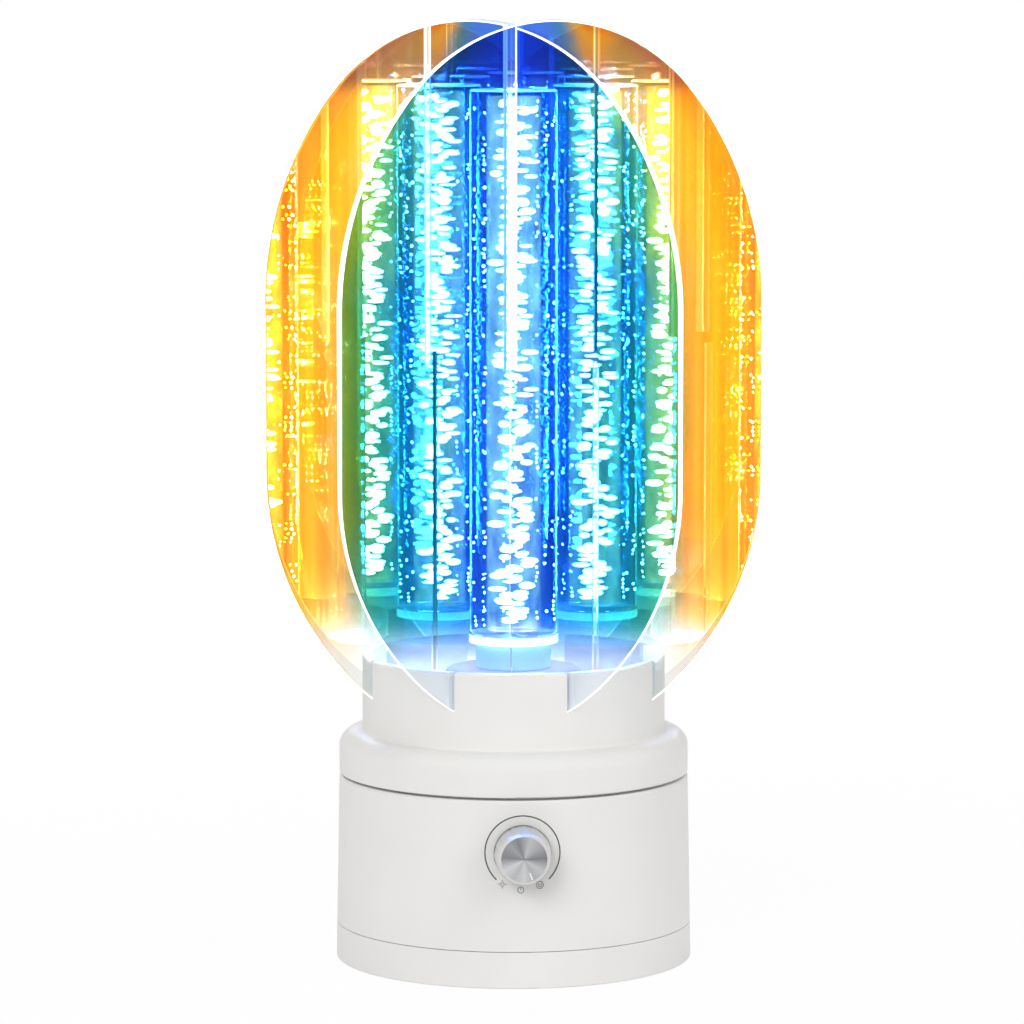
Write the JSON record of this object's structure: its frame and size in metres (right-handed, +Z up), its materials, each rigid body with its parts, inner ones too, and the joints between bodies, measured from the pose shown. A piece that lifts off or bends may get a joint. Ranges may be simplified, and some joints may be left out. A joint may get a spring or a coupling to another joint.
{
  "type": "turning night light",
  "caption": "Night light whose slotted collar turns crossing clear oval plates round a bubble rod lit from below, on a round base with a dial.",
  "frame": {"origin": "middle of the foot pad's underside, on the axis that the head turns on", "axes": "+Z up along the turning axis, -Y to the front where the dial is, +X to the right as seen from the front"},
  "size_m": [0.143, 0.1177, 0.27],
  "materials": {
    "white_plastic": "matte moulded ABS",
    "frosted_plastic": "frosted, lit from inside",
    "clear_acrylic": "clear, polished",
    "bubble_acrylic": "clear with small bubbles, lit blue to violet from below",
    "dichroic_acrylic": "clear with a film that shifts from blue and green to yellow, bright cut edges",
    "satin_metal": "satin silver",
    "spun_aluminium": "spun, with radial highlights",
    "white_paint": "painted line",
    "grey_rubber": "soft, matte",
    "steel": "plain",
    "brass": "plain",
    "gear_plastic": "natural acetal",
    "circuit_board": "green solder mask",
    "white_board": "white solder mask",
    "chip_gel": "phosphor gel",
    "black_plastic": "moulded",
    "lead_sheath": "red sheath"
  },
  "bodies": {
    "base": {"foot_pad": "grey_rubber", "bottom_cover": "white_plastic", "cover_screws": "steel", "steel_weight": "steel", "base_housing": "white_plastic", "control_board": "circuit_board", "board_parts": "black_plastic", "board_screws": "steel", "power_socket": "steel", "light_lead": "lead_sheath", "spindle": "spun_aluminium", "spindle_screws": "steel", "light_board": "white_board", "light_chips": "chip_gel", "bearing_inner_race": "steel", "retaining_ring": "steel", "motor_case": "steel", "motor_screws": "steel", "dial_sensor": "black_plastic", "dial_nut": "steel"},
    "head": {"turning_collar": "white_plastic", "ring_gear": "gear_plastic", "gear_screws": "steel", "bearing_outer_race": "steel", "collar_floor": "white_plastic", "floor_screws": "steel", "light_cover": "frosted_plastic", "rod_seat": "clear_acrylic", "bubble_rod": "bubble_acrylic", "plate_front_left": "dichroic_acrylic", "plate_front_right": "dichroic_acrylic", "plate_back_left": "dichroic_acrylic", "plate_back_right": "dichroic_acrylic"},
    "bearing_cage": {"bearing_cage": "brass", "bearing_balls": "steel"},
    "pinion": {"motor_shaft": "steel", "drive_pinion": "gear_plastic"},
    "dial": {"dial_shaft": "steel", "knob_body": "satin_metal", "knob_cap": "spun_aluminium", "knob_pointer": "white_paint"}
  },
  "joints": [
    {"name": "head_spin", "type": "hinge", "parent": "base", "child": "head", "pos_m": [0, 0, 0.0605], "axis": [0, 0, 1], "continuous": true},
    {"name": "cage_spin", "type": "hinge", "parent": "base", "child": "bearing_cage", "pos_m": [0, 0, 0.0605], "axis": [0, 0, 1], "continuous": true},
    {"name": "pinion_spin", "type": "hinge", "parent": "base", "child": "pinion", "pos_m": [-0.03118, 0.018, 0.0582], "axis": [0, 0, 1], "continuous": true},
    {"name": "dial_turn", "type": "hinge", "parent": "base", "child": "dial", "pos_m": [0, -0.0506, 0.0388], "axis": [0, -1, 0], "range_deg": [0, 306]}
  ],
  "couplings": [
    {"joint": "cage_spin", "follows": "head_spin", "ratio": 0.53804},
    {"joint": "pinion_spin", "follows": "head_spin", "ratio": 7}
  ]
}
